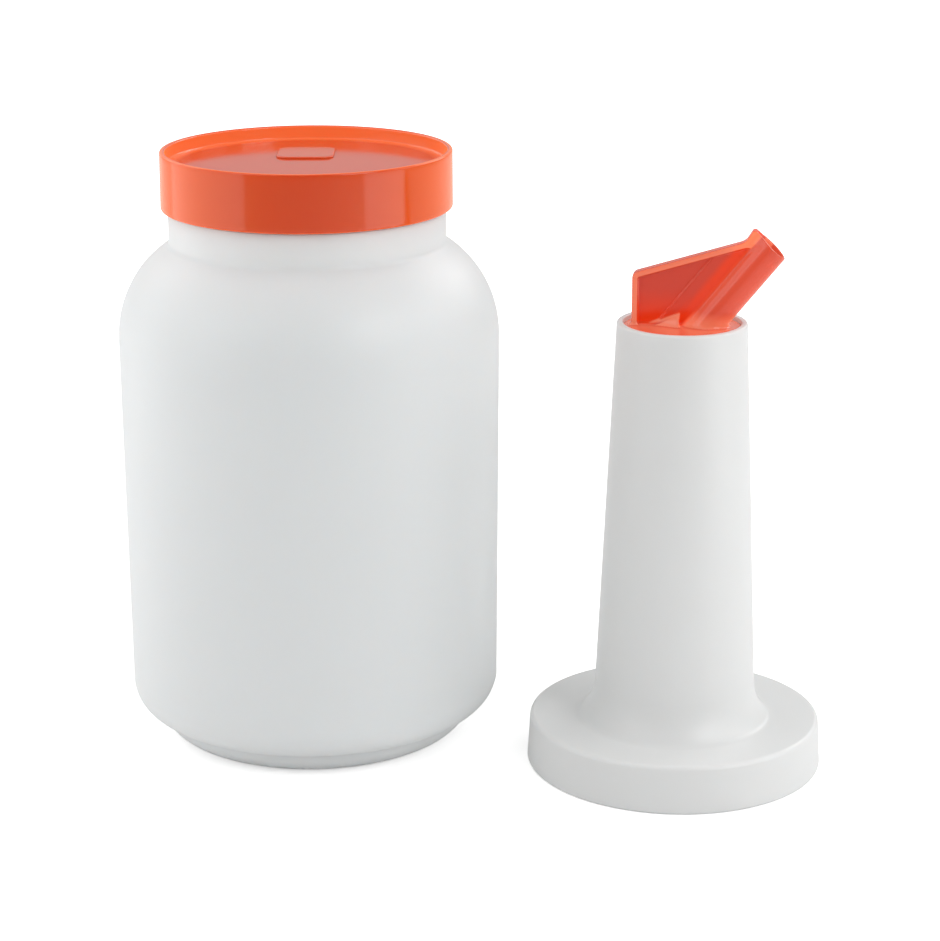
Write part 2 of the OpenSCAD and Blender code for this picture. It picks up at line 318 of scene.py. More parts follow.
@dataclass(frozen=True)
class Plastic:
    """A moulded plastic's finish: its colours, gloss, surface relief, how light goes into it, and the light
    painted on translucent pieces.
    """

    name: str
    colour: Colour
    tone: Colour
    cloud: float = 0.2
    cloud_size: float = 30.0
    roughness: float = 0.4
    roughness_spread: float = 0.05
    grain_size: float = 0.5
    grain_height: float = 0.0006
    ripple_size: float = 25.0
    ripple_height: float = 0.01
    index: float = 1.5
    subsurface: float = 0.0
    subsurface_depth: float = 3.0
    scatter: Colour = (1.0, 0.8, 0.7)
    transmission: float = 0.0
    # Painted light of translucent pieces: a paler, more saturated copy of the colour for light through thin
    # walls, and a painted highlight on grazing edges.
    painted_glow_colour: Colour | None = None
    edge_light: Colour = (0.0, 0.0, 0.0)

    def material(self) -> bpy.types.Material:
        """Builds the material.

        Returns:
            The material, with its own Principled shader fed by the shared groups.
        """
        material = bpy.data.materials.new(self.name)
        material.use_nodes = True
        nodes, links = material.node_tree.nodes, material.node_tree.links
        shader = nodes["Principled BSDF"]
        shader.inputs["IOR"].default_value = self.index
        shader.inputs["Subsurface Weight"].default_value = self.subsurface
        shader.inputs["Subsurface Radius"].default_value = self.scatter
        shader.inputs["Subsurface Scale"].default_value = self.subsurface_depth * MM
        shader.inputs["Transmission Weight"].default_value = self.transmission

        def placed(group: Tree, **values: float | tuple) -> bpy.types.ShaderNode:
            """Adds a shared group with its values.

            Args:
                group: The group.
                values: Values by the name of their input, with _ for a space.

            Returns:
                The group's node in this material.
            """
            node = nodes.new("ShaderNodeGroup")
            node.node_tree = group
            for label, value in values.items():
                node.inputs[label.replace("_", " ")].default_value = value
            return node

        clouds = 1 / (self.cloud_size * MM)
        first, second = (*self.colour, 1), (*self.tone, 1)
        tone = placed(ShaderGroups.tone(), Color=first, Tone=second, Amount=self.cloud, Scale=clouds)
        spread = self.roughness_spread
        wear = placed(ShaderGroups.wear(), Roughness=self.roughness, Spread=spread, Scale=clouds)
        relief = placed(
            ShaderGroups.relief(),
            Grain_Scale=1 / (self.grain_size * MM),
            Grain_Height=self.grain_height * MM,
            Ripple_Scale=1 / (self.ripple_size * MM),
            Ripple_Height=self.ripple_height * MM,
        )
        bump = nodes.new("ShaderNodeBump")
        bump.inputs["Distance"].default_value = 1.0
        links.new(relief.outputs["Height"], bump.inputs["Height"])
        links.new(bump.outputs["Normal"], shader.inputs["Normal"])
        links.new(wear.outputs["Roughness"], shader.inputs["Roughness"])
        colour = tone.outputs["Color"]
        if self.painted_glow_colour is not None:
            colour = self._lit_through(material.node_tree, shader, colour)
        links.new(colour, shader.inputs["Base Color"])
        return material

    def _lit_through(self, tree: Tree, shader: bpy.types.ShaderNode, colour: Socket) -> Socket:
        """Adds the light painted on a translucent piece, its painted glow colour and its painted highlight
        on grazing edges.

        Args:
            tree: The material's nodes.
            shader: Its Principled shader.
            colour: Socket with the plain colour.

        Returns:
            The socket with the colour, which is the painted glow colour where the paint says so.
        """
        nodes, links = tree.nodes, tree.links
        painted = nodes.new("ShaderNodeAttribute")
        painted.attribute_name = LIGHT
        plain = nodes.new("ShaderNodeMix")
        plain.data_type = "RGBA"
        plain.inputs["A"].default_value = (*self.painted_glow_colour, 1)
        links.new(painted.outputs["Alpha"], plain.inputs["Factor"])
        links.new(colour, plain.inputs["B"])
        grazing = nodes.new("ShaderNodeLayerWeight")
        grazing.inputs["Blend"].default_value = 0.5
        edge = nodes.new("ShaderNodeMath")
        edge.operation = "MULTIPLY"
        links.new(grazing.outputs["Facing"], edge.inputs[0])
        links.new(painted.outputs["Alpha"], edge.inputs[1])
        add = nodes.new("ShaderNodeMix")
        add.data_type, add.blend_type = "RGBA", "ADD"
        add.inputs["B"].default_value = (*self.edge_light, 1)
        links.new(edge.outputs[0], add.inputs["Factor"])
        links.new(painted.outputs["Color"], add.inputs["A"])
        links.new(add.outputs["Result"], shader.inputs["Emission Color"])
        shader.inputs["Emission Strength"].default_value = 1.0
        return plain.outputs["Result"]


JAR_PLASTIC = Plastic("natural_white_plastic", (0.80, 0.805, 0.80), (0.76, 0.77, 0.765), roughness=0.42,
                      subsurface=0.45, subsurface_depth=5.0, ripple_height=0.02, ripple_size=40.0)
NECK_PLASTIC = Plastic("white_plastic", (0.75, 0.755, 0.75), (0.71, 0.72, 0.715), roughness=0.36,
                       subsurface=0.2, ripple_height=0.006)
# The lid's second orange is a painted glow colour for the inside of the rim, and its edge colour a painted
# highlight on grazing edges of the skirt.
LID_PLASTIC = Plastic("gloss_orange_plastic", (0.68, 0.065, 0.009), (0.63, 0.055, 0.008), roughness=0.13,
                      roughness_spread=0.03, grain_height=0.0001, ripple_height=0.003, subsurface=0.45,
                      subsurface_depth=2.0, scatter=(1.0, 0.25, 0.1), painted_glow_colour=(0.70, 0.08, 0.02),
                      edge_light=(0.42, 0.105, 0.0))
# The spout's second orange is a painted glow colour for the thin web, and its edge colour a painted
# highlight on grazing edges.
SPOUT_PLASTIC = Plastic("clear_orange_plastic", (0.80, 0.068, 0.030), (0.76, 0.058, 0.024), roughness=0.16,
                        roughness_spread=0.04, grain_height=0.0002, ripple_height=0.003, transmission=0.25,
                        painted_glow_colour=(0.88, 0.06, 0.0), edge_light=(0.12, 0.05, 0.03))
LINER_FOAM = Plastic("white_foam", (0.78, 0.78, 0.76), (0.70, 0.70, 0.68), roughness=0.85, grain_size=0.3,
                     grain_height=0.02)
SEAL_RUBBER = Plastic("soft_seal", (0.70, 0.70, 0.68), (0.62, 0.62, 0.60), roughness=0.6, grain_size=0.4,
                      grain_height=0.003)


@dataclass(frozen=True)
class Thread:
    """The screw thread that the jar, the lid and the neck's collar share."""

    pitch: float = 5.08
    turns: float = 1.15
    half_root: float = 1.05
    half_top: float = 0.5
    fade: float = 0.09
    jar_ridge: float = 1.1
    jar_drop: float = 8.0
    skirt_ridge: float = 1.2
    skirt_drop: float = 7.85

    def height(self, z: Array, turn: Array, start_z: float, start_turn: float) -> Array:
        """Share of the ridge's full height over a grid.

        Args:
            z: Heights of the grid's points.
            turn: Angles of the grid's points, in radians.
            start_z: Height at which the ridge starts.
            start_turn: Angle at which it starts, in radians.

        Returns:
            Values from 0 beside the ridge to 1 on its crest.
        """
        out = np.zeros_like(z)
        share = ((turn - start_turn) / math.tau) % 1.0
        for whole in range(math.ceil(self.turns)):
            done = share + whole
            off = np.abs(z - start_z - self.pitch * done)
            ridge = smooth_step(-off, -self.half_root, -self.half_top)
            ends = np.clip(np.minimum(done, self.turns - done) / self.fade, 0.0, 1.0)
            out = np.maximum(out, ridge * ends)
        return out

    def in_skirt(self, skirt_r: float, seat_z: float, start_turn: float) -> Relief:
        """Makes the relief that raises the thread on the inner wall of a skirt.

        Args:
            skirt_r: Radius of the wall.
            seat_z: Height at which the jar's rim meets the seal.
            start_turn: Angle at which the ridge starts, in radians.

        Returns:
            A function that moves the radii of a grid and keeps its heights.
        """

        def relief(radius: Array, z: Array, turn: Array) -> tuple[Array, Array]:
            """Moves the wall's points in by the height of the ridge."""
            share = self.height(z, turn, seat_z - self.skirt_drop, start_turn)
            return radius - self.skirt_ridge * share * (np.abs(radius - skirt_r) < SAME_RADIUS), z

        return relief


THREAD = Thread()


def columns(count: int) -> Array:
    """Evenly spaced angles of one turn, in radians."""
    return np.arange(count) * math.tau / count


def middle(node: str) -> Point:
    """Upright axis of a round node of the frame, as (x, y) in millimetres."""
    low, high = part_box(node)
    return ((low.x + high.x) / 2 / MM, (low.y + high.y) / 2 / MM)


def top(node: str) -> float:
    """Highest point of a node of the frame, in millimetres."""
    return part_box(node)[1].z / MM


def paint(piece: Piece, light: Array, plain: Array) -> None:
    """Stores the painted light, standing for light that comes through a translucent piece, at each point.

    Args:
        piece: The piece.
        light: Colours of the light, one row for each point.
        plain: Values from 0 where the plastic shows its painted glow colour to 1 where it shows its own,
            with its painted edge highlight.
    """
    layer = piece.data.color_attributes.new(LIGHT, "FLOAT_COLOR", "POINT")
    layer.data.foreach_set("color", np.column_stack([light, plain]).astype(np.float32).ravel())


def dress(piece: Piece, body: str, slot: Slot, finish: Plastic, *replaced: str) -> Piece:
    """Gives a new piece its material and its place in the frame.

    Args:
        piece: The new piece.
        body: CAD body that it moves with.
        slot: Material slot of the record; not used.
        finish: Its finish.
        replaced: CAD nodes that it stands for.

    Returns:
        The piece.
    """
    piece.data.materials.append(finish.material())
    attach(piece, body)
    if replaced:
        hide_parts(*replaced)
    LOG.info("%s: %d points on body %s", piece.name, len(piece.data.vertices), body)
    return piece


@dataclass
class Jar:
    """Blow-moulded jar with a stepped foot, a round shoulder and a threaded mouth."""

    body_r: float = 61.5
    body_low_r: float = 60.8
    wall: float = 1.6
    foot_r: float = 43.0
    foot_round: float = 9.2
    foot_land: float = 4.5
    push_up: float = 3.0
    heel_round: float = 10.2
    kink_r: float = 52.1
    shoulder_r: float = 35.4
    shoulder_z: float = 134.1
    neck_r: float = 44.5
    throat_fillet: float = 2.5
    finish_r: float = 43.1
    finish_h: float = 11.4
    mouth_r: float = 41.0
    lip_round: float = 0.8
    push_run: float = 4.0
    seam_turn: float = -0.06
    seam_height: float = 0.09
    seam_half: float = 0.3
    seam_clear: float = 0.012
    pinch_height: float = 0.3
    facets: int = 240
    axis: Point = (0.0, 0.0)
    rim_z: float = 0.0

    def outline(self) -> list[Point]:
        """Draws the jar's section, with a wall of even thickness.

        Returns:
            Closed outline from the middle of the underside round to the middle of the inside.
        """
        foot_end = -math.degrees(math.acos((self.kink_r - self.foot_r) / self.foot_round))
        heel_c = self.body_low_r - self.heel_round
        heel_start = -math.degrees(math.acos((self.kink_r - heel_c) / self.heel_round))
        kink_z = self.foot_round + self.foot_round * math.sin(math.radians(foot_end))
        heel_z = kink_z - self.heel_round * math.sin(math.radians(heel_start))
        shoulder_c = self.body_r - self.shoulder_r
        throat_r = self.neck_r + self.throat_fillet
        reach = self.shoulder_r + self.throat_fillet
        throat_dz = math.sqrt(reach**2 - (throat_r - shoulder_c) ** 2)
        throat_a = math.degrees(math.atan2(throat_dz, throat_r - shoulder_c))
        inner_r = self.shoulder_r - self.wall
        mouth_a = math.degrees(math.acos((self.mouth_r - shoulder_c) / inner_r))
        land_r = self.foot_r - self.foot_land
        push_r, push_z = land_r - self.push_run, self.push_up / 2
        step_z = self.rim_z - self.finish_h
        lip = self.lip_round
        outer = refined([(0.0, self.push_up), (push_r, push_z), (land_r, 0.0)], 2.0)
        outer += refined([(land_r, 0.0), (self.foot_r, 0.0)], 1.0)[1:-1]
        # Both arcs stop a few degrees short of the notch above the foot, which softens it.
        outer += arc((self.foot_r, self.foot_round), self.foot_round, -90, foot_end + 3, 22)
        outer += arc((heel_c, heel_z), self.heel_round, heel_start + 4, 0, 22)
        outer += refined([(self.body_low_r, heel_z), (self.body_r, self.shoulder_z)], 3.0)[1:-1]
        outer += arc((shoulder_c, self.shoulder_z), self.shoulder_r, 0, throat_a, 40)
        outer += arc((throat_r, self.shoulder_z + throat_dz), self.throat_fillet, 180 + throat_a, 180, 8)[1:]
        outer += [(self.neck_r, step_z - 0.9), (self.neck_r - 0.1, step_z - 0.6)]
        outer += refined([(self.finish_r, step_z), (self.finish_r, self.rim_z - lip)], 0.2)
        outer += arc((self.finish_r - lip, self.rim_z - lip), lip, 0, 90, 6)[1:]
        inner = arc((self.mouth_r + lip, self.rim_z - lip), lip, 90, 180, 6)
        inner += arc((shoulder_c, self.shoulder_z), inner_r, mouth_a, 0, 30)
        body = [(self.body_r - self.wall, self.shoulder_z), (self.body_low_r - self.wall, heel_z)]
        inner += refined(body, 4.0)[1:-1]
        inner += arc((heel_c, heel_z), self.heel_round - self.wall, 0, heel_start, 12)
        inner += arc((self.foot_r, self.foot_round), self.foot_round - self.wall, foot_end, -90, 12)
        base = [(land_r, self.wall), (push_r, push_z + self.wall), (0.0, self.push_up + self.wall)]
        return outer + inner + refined(base, 3.0)

    def relief(self, radius: Array, z: Array, turn: Array) -> tuple[Array, Array]:
        """Adds the thread, the mould's parting line and the pinched line under the base.

        Args:
            radius: Radii of the grid.
            z: Heights of the grid.
            turn: Angles of the grid.

        Returns:
            The new radii and heights.
        """
        on_finish = np.abs(radius - self.finish_r) < SAME_RADIUS
        ridge = THREAD.height(z, turn, self.rim_z - THREAD.jar_drop, 0.0) * on_finish
        across = radius * np.abs(np.sin(turn - self.seam_turn))
        line = np.exp(-((across / self.seam_half) ** 2))
        rows = np.arange(len(radius))[:, None]
        rim_row = int(np.argmax(z[:, 0]))
        outside = (rows < rim_row) & (radius > self.foot_r) & (z < self.rim_z - self.finish_h - 2)
        under = (rows < rim_row) & (radius < self.foot_r - self.foot_land - self.push_run)
        raised = radius + THREAD.jar_ridge * ridge + self.seam_height * line * outside
        return raised, z - self.pinch_height * line * under

    def build(self) -> Piece:
        """Builds the jar where the frame has it.

        Returns:
            The jar's piece.
        """
        self.axis, self.rim_z = middle("jar"), top("jar")
        # Extra columns, in degrees from each seam, carry its narrow ridge.
        beside = np.array([-0.9, -0.55, -0.3, -0.12, 0.0, 0.12, 0.3, 0.55, 0.9])
        seams = [math.radians(b) + self.seam_turn + half for half in (0.0, math.pi) for b in beside]

        def off_seams(angle: float) -> float:
            """Smallest angle between a column and the columns of the seams."""
            return min(abs((angle - s + math.pi) % math.tau - math.pi) for s in seams)

        plain = [a for a in columns(self.facets) if off_seams(a) > self.seam_clear]
        angles = np.array(sorted([*plain, *(s % math.tau for s in seams)]))
        draft = Draft()
        draft.lathe(self.outline(), self.axis, angles, self.relief)
        return dress(draft.build("blown_jar"), "jar", Slot.JAR, JAR_PLASTIC, "jar")


@dataclass
class Lid:
    """Screw lid with a raised rim round a sunk panel, and a small bare pad on the panel."""

    low_r: float = 46.7
    top_r: float = 46.6
    skirt_r: float = 44.7
    height: float = 18.3
    panel_depth: float = 4.3
    panel_t: float = 1.3
    rim_w: float = 1.8
    edge_round: float = 0.6
    seat_gap: float = 0.05
    ceiling_round: float = 0.5
    lead_round: float = 0.75
    facets: int = 288
    pad_w: float = 18.5
    pad_d: float = 20.0
    pad_h: float = 0.6
    pad_corner: float = 4.0
    pad_x: float = -1.0
    pad_y: float = 15.6
    pad_round: float = 0.3
    pad_reach: float = 35.0
    pad_light: float = 0.15
    rim_light: Colour = (0.30, 0.085, 0.022)
    axis: Point = (0.0, 0.0)
    top_z: float = 0.0

    def outline(self) -> list[Point]:
        """Draws the lid's section.

        Returns:
            Closed outline from the middle of the ceiling round to the middle of the panel.
        """
        e, c, lead = self.edge_round, self.ceiling_round, self.lead_round
        low_z, panel_z = self.top_z - self.height, self.top_z - self.panel_depth
        ceiling_z = panel_z - self.panel_t
        points = refined([(0.0, ceiling_z), (self.skirt_r - c, ceiling_z)], 4.0)
        points += arc((self.skirt_r - c, ceiling_z - c), c, 90, 0, 4)[1:]
        points += refined([(self.skirt_r, ceiling_z - c), (self.skirt_r, low_z + 0.9)], 0.2)[1:]
        points += arc((self.skirt_r + lead, low_z + lead), lead, 180, 260, 5)
        points += arc((self.low_r - e, low_z + e), e, -90, 0, 7)
        points += refined([(self.low_r, low_z + e), (self.top_r, self.top_z - e)], 1.5)[1:-1]
        points += arc((self.top_r - e, self.top_z - e), e, 0, 90, 8)
        points += arc((self.top_r - self.rim_w + e, self.top_z - e), e, 90, 180, 8)
        points += arc((self.top_r - self.rim_w - e, panel_z + e), e, 0, -90, 8)
        return points + refined([(self.top_r - self.rim_w - e, panel_z), (0.0, panel_z)], 4.0)[1:]

    def pad(self, draft: Draft) -> None:
        """Adds the pad, a rounded block with soft edges that stands in the panel.

        Args:
            draft: The lid's mesh so far.
        """
        e = self.pad_round
        # Each level is an inset from the pad's edge and a height over the panel, from just inside the panel.
        levels = [(0.0, -0.4), (0.0, self.pad_h - e)]
        for a in np.radians([22.5, 45, 67.5, 90]):
            levels.append((e * (1 - math.cos(a)), self.pad_h - e + e * math.sin(a)))
        levels += [(1.2, self.pad_h), (2.6, self.pad_h)]
        rings = []
        for inset, z in levels:
            corner = max(self.pad_corner - inset, 0.6)
            x, y = self.pad_w / 2 - inset - corner, self.pad_d / 2 - inset - corner
            ring = []
            for cx, cy, start in ((x, y, 0), (-x, y, 90), (-x, -y, 180), (x, -y, 270)):
                ring += arc((cx, cy), corner, start, start + 90, 10)
            cx, cy = self.axis[0] + self.pad_x, self.axis[1] + self.pad_y
            rings.append([(cx + px, cy + py, z) for px, py in ring])
        points = np.array(rings).reshape(-1, 3)
        points[:, 2] += self.top_z - self.panel_depth
        n = len(rings[0])
        faces = [
            (i * n + j, i * n + (j + 1) % n, (i + 1) * n + (j + 1) % n, (i + 1) * n + j)
            for i in range(len(rings) - 1)
            for j in range(n)
        ]
        draft.add(points, [*faces, list(range(n))[::-1], list(range(len(points) - n, len(points)))])

    def build(self) -> Piece:
        """Builds the lid where the frame has it.

        Returns:
            The lid's piece.
        """
        self.axis, self.top_z = middle("lid"), top("lid")
        draft = Draft()
        thread = THREAD.in_skirt(self.skirt_r, top("jar") + self.seat_gap, math.pi)
        draft.lathe(self.outline(), self.axis, columns(self.facets), thread)
        self.pad(draft)
        piece = draft.build("screw_lid")
        places = np.vstack(draft.points)
        out = np.hypot(places[:, 0] - self.axis[0], places[:, 1] - self.axis[1])
        wall_r, above = self.top_r - self.rim_w, places[:, 2] - self.top_z + self.panel_depth
        # Painted glow on the inner rim wall and a fainter one on the pad, for light through the thin
        # plastic; inside the rim the painted glow colour replaces the plain orange, and only the outer skirt
        # gets the painted edge highlight.
        in_rim = smooth_step(out, wall_r - 2.0, wall_r - 0.2) * (out < wall_r + 0.2) * (above > -0.1)
        on_pad = self.pad_light * (out < self.pad_reach) * (above > 0.05)
        skirt = smooth_step(out, wall_r + 0.2, wall_r + 1.0)
        paint(piece, np.outer(np.maximum(in_rim, on_pad), self.rim_light), skirt)
        return dress(piece, "lid", Slot.LID, LID_PLASTIC, "lid")


@dataclass
class PouringNeck:
    """Hollow cone on a screw collar, with the spout's socket at its top."""

    collar_r: float = 47.4
    collar_top_r: float = 46.6
    collar_h: float = 15.6
    collar_t: float = 2.0
    collar_round: float = 1.5
    foot_round: float = 0.9
    skirt_r: float = 44.7
    top_r: float = 20.4
    taper: float = 0.044
    top_round: float = 0.8
    flare_z: float = 27.5
    flare_r: float = 16.9
    wall: float = 2.0
    flare_in: float = 1.5
    socket_r: float = 16.6
    socket_z: float = 124.0
    seat_r: float = 18.4
    seat_drop: float = 2.95
    seat_round: float = 0.4
    lead: float = 5.0
    ceiling_round: float = 0.5
    gasket_t: float = 1.3
    facets: int = 240
    axis: Point = (0.0, 0.0)
    top_z: float = 0.0

    def cone_r(self, z: float) -> float:
        """Outer radius of the cone at a height."""
        return self.top_r + (self.top_z - z) * self.taper

    def outline(self) -> list[Point]:
        """Draws the neck's section.

        Returns:
            Closed ring: up the outside, over the top, and down the inside.
        """
        foot_r = self.cone_r(self.flare_z)
        flare_a = math.degrees(math.asin((self.flare_z - self.collar_h) / self.flare_r))
        c, f, t = self.collar_round, self.foot_round, self.top_round
        seat_z, inner_low = self.top_z - self.seat_drop, foot_r - self.wall
        ceiling_z = self.collar_h - self.collar_t
        points = [(self.skirt_r + 0.6, 0.0), (self.collar_r - f, 0.0)]
        points += arc((self.collar_r - f, f), f, -75, 0, 6)
        points += refined([(self.collar_r, f), (self.collar_top_r, self.collar_h - c)], 1.5)[1:-1]
        points += arc((self.collar_top_r - c, self.collar_h - c), c, 0, 90, 10)
        flare = arc((foot_r + self.flare_r, self.flare_z), self.flare_r, 180 + flare_a, 180, 22)
        collar_top = [(self.collar_top_r - c, self.collar_h), (flare[0][0] + 0.4, self.collar_h)]
        points += refined(collar_top, 2.0)[1:] + flare[1:]
        points += refined([(foot_r, self.flare_z), (self.top_r, self.top_z - t)], 3.0)[1:-1]
        points += arc((self.top_r - t, self.top_z - t), t, 0, 90, 8)
        r = self.seat_round
        points += arc((self.seat_r + r, self.top_z - r), r, 90, 180, 5)
        points += [(self.seat_r, seat_z + 0.3), (self.seat_r - 0.3, seat_z), (self.socket_r + 0.3, seat_z)]
        points += refined([(self.socket_r, seat_z - 0.3), (self.socket_r, self.socket_z)], 3.0)
        lead_z, mouth_r, e = self.socket_z - self.lead, inner_low + self.flare_in, self.ceiling_round
        points += refined([(self.cone_r(lead_z) - self.wall, lead_z), (inner_low, self.flare_z)], 4.0)
        points += [(mouth_r, self.collar_h), (mouth_r, ceiling_z + 0.4), (mouth_r + 0.4, ceiling_z)]
        points += refined([(mouth_r + 1.0, ceiling_z), (self.skirt_r - e, ceiling_z)], 2.0)
        points += arc((self.skirt_r - e, ceiling_z - e), e, 90, 0, 4)[1:]
        return points + refined([(self.skirt_r, ceiling_z - e), (self.skirt_r, 0.7)], 0.2)[1:]

    def build(self) -> Piece:
        """Builds the neck where the frame has it.

        Returns:
            The neck's piece.
        """
        self.axis, self.top_z = middle("neck"), top("neck")
        draft = Draft()
        thread = THREAD.in_skirt(self.skirt_r, self.collar_h - self.collar_t - self.gasket_t, 0.0)
        draft.lathe(self.outline(), self.axis, columns(self.facets), thread)
        return dress(draft.build("pouring_neck"), "neck", Slot.NECK, NECK_PLASTIC, "neck")


def filleted(a: Array, b: Array, radius: Array | float) -> Array:
    """Joins two solids with a fillet where they meet.

    Args:
        a: Distances to the first solid.
        b: Distances to the second.
        radius: Radius of the fillet.

    Returns:
        Distances to the joined solid.
    """
    low = np.minimum(a, b)
    near = np.sqrt(np.maximum(radius - a, 0.0) ** 2 + np.maximum(radius - b, 0.0) ** 2)
    return np.where(radius > 0, np.maximum(radius, low) - near, low)


def rounded_common(a: Array, b: Array, radius: float) -> Array:
    """Distance to what two solids share, with its new edges rounded to the given radius."""
    return -filleted(-a, -b, radius)


def in_plan(points: Sequence[Point], u: Array, z: Array) -> Array:
    """Signed distance to a flat outline.

    Args:
        points: Corners of the outline, in order.
        u: First coordinates.
        z: Second coordinates.

    Returns:
        Distances, negative inside.
    """
    best = np.full(np.broadcast(u, z).shape, np.inf)
    inside = np.zeros(best.shape, bool)
    for (u0, z0), (u1, z1) in zip(points, [*points[1:], points[0]]):
        du, dz = u1 - u0, z1 - z0
        t = np.clip(((u - u0) * du + (z - z0) * dz) / (du * du + dz * dz), 0.0, 1.0)
        best = np.minimum(best, (u - u0 - t * du) ** 2 + (z - z0 - t * dz) ** 2)
        if z0 != z1:
            inside ^= ((z0 > z) != (z1 > z)) & (u < u0 + (z - z0) * du / dz)
    return np.where(inside, -1.0, 1.0) * np.sqrt(best)


def plate(flat: Array, across: Array, half: float, edge: float) -> Array:
    """Distance to a plate with rounded edges.

    Args:
        flat: Distance to its outline in its plane.
        across: Distance from its middle plane.
        half: Half its thickness.
        edge: Radius of its edges.

    Returns:
        Distances, negative inside.
    """
    a, b = flat + edge, np.abs(across) - half + edge
    outside = np.sqrt(np.maximum(a, 0.0) ** 2 + np.maximum(b, 0.0) ** 2)
    return np.minimum(np.maximum(a, b), 0.0) + outside - edge


@dataclass
class SpoutShape:
    """The spout as a distance field: U runs along the fin to the pour tube, V across it, Z up."""

    disc_z: float
    disc_r: float = 18.3
    disc_t: float = 1.6
    plug_r: float = 16.54
    plug_in_r: float = 13.2
    plug_len: float = 17.0
    ring_drop: float = 8.0
    groove_r: float = 14.59
    groove_half: float = 1.0
    tube_u: float = 7.1
    tube_r: float = 5.1
    bore_r: float = 4.0
    tube_len: float = 32.7
    lean: float = 51.5
    mouth_slant: float = 6.0
    fin_left: float = -15.7
    fin_rise: float = 16.6
    fin_slope: float = 17.0
    corner_r: float = 2.0
    rail_half: float = 2.3
    rail_t: float = 1.75
    web_half: float = 1.0
    crest_start: float = 17.5
    crest_hollow: float = 4.0
    crest_lean: float = 60.0
    crest_u: float = 21.7
    crest_rise: float = 30.8
    crest_right: float = 25.5
    vent_shift: float = 5.8
    vent_r: float = 0.75
    recess_depth: float = 2.5
    recess_r: float = 4.3
    recess_tip_r: float = 1.5
    recess_shift: float = 5.2
    rib_shift: float = 8.7
    rib_half_w: float = 3.7
    rib_half_t: float = 1.6
    fin_end: float = 22.0
    groove_edge: float = 0.15
    plug_edge: float = 0.3
    gusset_left: float = -13.3
    gusset_right: float = -1.0
    gusset_r: float = 4.3
    # Colours and strengths of the painted light on each part of the spout.
    broad_light: Colour = (1.0, 0.58, 0.32)
    web_light: Colour = (0.1, 0.0, 0.0)
    rail_light: float = 0.22
    crest_light: float = 0.1
    disc_light: float = 0.08
    tube_light: float = 0.04
    foot_light: float = 0.2
    mouth_light: float = 0.22
    gusset_light: float = 0.22

    def fin_top(self, u: Array | float) -> Array | float:
        """Height of the fin's straight upper edge."""
        return self.disc_z + self.fin_rise + (u - self.fin_left) * math.tan(math.radians(self.fin_slope))

    def rail(self) -> list[Point]:
        """Draws the rail along the fin's left and upper edges.

        Returns:
            Its outline up to the crest, as (U, Z).
        """
        slope = math.radians(self.fin_slope)
        drop, c, h = self.rail_t / math.cos(slope), self.corner_r, self.crest_hollow
        base, left = self.disc_z - self.disc_t / 2, self.fin_left
        crest_z, inner_r = self.disc_z + self.crest_rise, 0.8
        inner_u, end_u = left + self.rail_t + inner_r, self.fin_end
        points = [(left, base)]
        corner = (left + c, self.fin_top(left + c) - c / math.cos(slope))
        points += arc(corner, c, 180, 90 + self.fin_slope, 8)
        hollow_z = self.fin_top(self.crest_start) + h * math.cos(slope)
        hollow = (self.crest_start - h * math.sin(slope), hollow_z)
        points += arc(hollow, h, self.fin_slope - 90, self.crest_lean - 90, 8)
        points += arc((self.crest_u, crest_z - 1.0), 1.0, 90 + self.crest_lean, 90, 6)
        points += [(self.crest_right, crest_z), (self.crest_right, self.fin_top(self.crest_right) - drop)]
        points += [(end_u, self.fin_top(end_u) - drop)]
        bend = (inner_u, self.fin_top(inner_u) - drop - inner_r / math.cos(slope))
        points += arc(bend, inner_r, 90 + self.fin_slope, 180, 6)
        return [*points, (left + self.rail_t, base)]

    def web(self) -> list[Point]:
        """Draws the thin web inside the rail.

        Returns:
            Its outline, as (U, Z).
        """
        left, base = self.fin_left + 0.5, self.disc_z - self.disc_t / 2
        upper = [(u, self.fin_top(u) - 0.5) for u in (self.fin_end, left)]
        return [(left, base), (self.tube_u, base), *upper]

    def along_tube(self, u: Array, z: Array) -> tuple[Array, Array]:
        """Turns places into the tube's own directions.

        Args:
            u: Coordinates along the fin.
            z: Heights.

        Returns:
            Distances along the tube's axis from the disc, and from that axis towards the fin.
        """
        cos, sin = math.cos(math.radians(self.lean)), math.sin(math.radians(self.lean))
        du, dz = u - self.tube_u, z - self.disc_z
        return du * cos + dz * sin, dz * cos - du * sin

    def plug(self, u: Array, v: Array, z: Array) -> Array:
        """Distance to the hollow plug with its ring groove.

        Args:
            u: Coordinates along the fin.
            v: Coordinates across it.
            z: Heights.

        Returns:
            Distances, negative inside the plastic.
        """
        out = np.sqrt(u * u + v * v)
        low, high = self.disc_z - self.disc_t - self.plug_len, self.disc_z - self.disc_t / 2
        shell = np.maximum(out - self.plug_r, self.plug_in_r - out)
        shell = rounded_common(shell, np.maximum(low - z, z - high), self.plug_edge)
        ring = self.disc_z - self.ring_drop
        groove = np.maximum(self.groove_r - out, np.abs(z - ring) - self.groove_half)
        return rounded_common(shell, -groove, self.groove_edge)

    def recess(self, towards_fin: Array, v: Array, past: Array) -> Array:
        """Distance to the drop-shaped recess in the mouth.

        Args:
            towards_fin: Distances from the tube's axis towards the fin.
            v: Coordinates across the fin.
            past: Distances beyond the mouth's plane.

        Returns:
            Distances, negative inside the recess.
        """
        share = np.clip(towards_fin / self.recess_shift, 0.0, 1.0)
        radius = self.recess_r + (self.recess_tip_r - self.recess_r) * share
        drop = np.sqrt((towards_fin - share * self.recess_shift) ** 2 + v * v) - radius
        return np.maximum(drop, -past - self.recess_depth)

